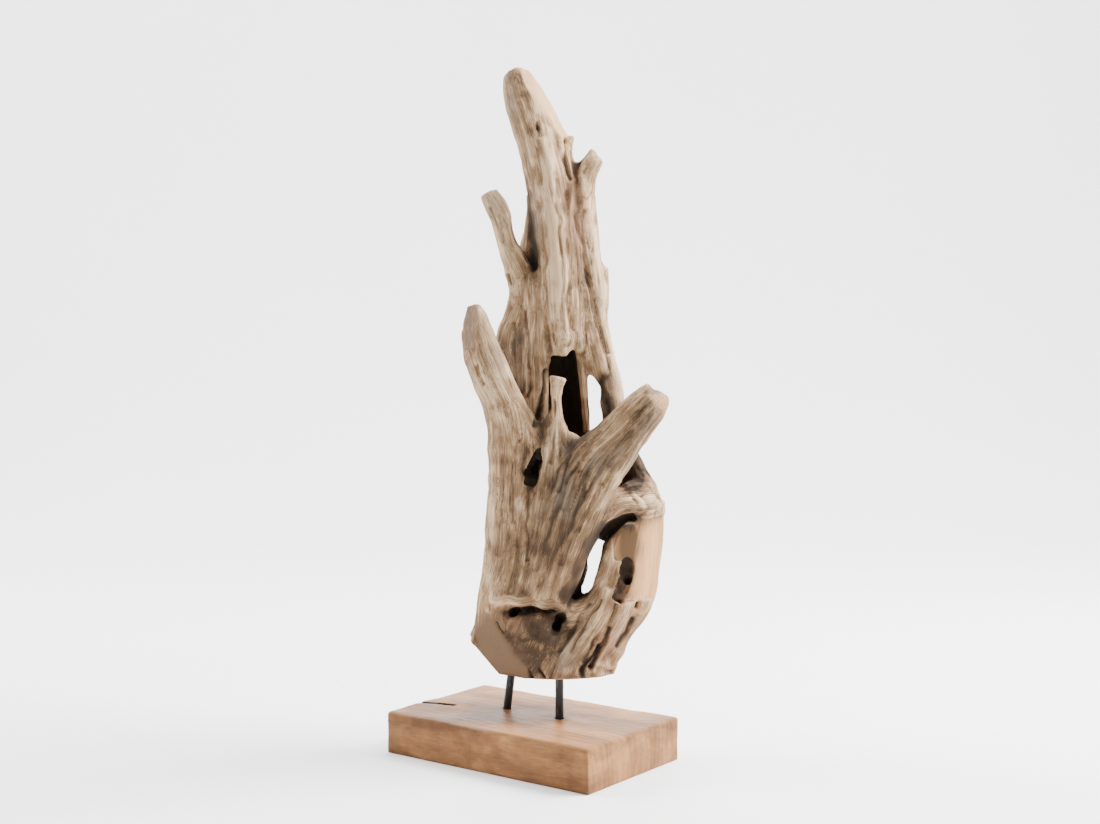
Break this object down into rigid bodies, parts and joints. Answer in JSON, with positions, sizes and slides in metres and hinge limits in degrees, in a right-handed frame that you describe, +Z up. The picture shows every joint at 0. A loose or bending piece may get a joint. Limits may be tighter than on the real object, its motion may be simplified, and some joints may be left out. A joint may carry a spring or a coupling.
{
  "type": "teak branch",
  "caption": "Upright weathered teak root wood with limbs, hollows and a side loop, held on steel pins above a sawn teak plinth.",
  "frame": {"origin": "centre of the plinth's underside", "axes": "+Z up, +X along the plinth's long side, +Y towards its back; the branch's front faces between +X and -Y"},
  "size_m": [0.3226, 0.219, 0.8281],
  "materials": {
    "weathered_teak": "weathered, dry and matt, with sanded faces",
    "sawn_teak": "sawn and sanded, thin clear coat on top",
    "black_steel": "satin black"
  },
  "bodies": {
    "root": {"teak_branch": "weathered_teak", "plinth": "sawn_teak", "pin_left": "black_steel", "pin_right": "black_steel"}
  },
  "joints": []
}
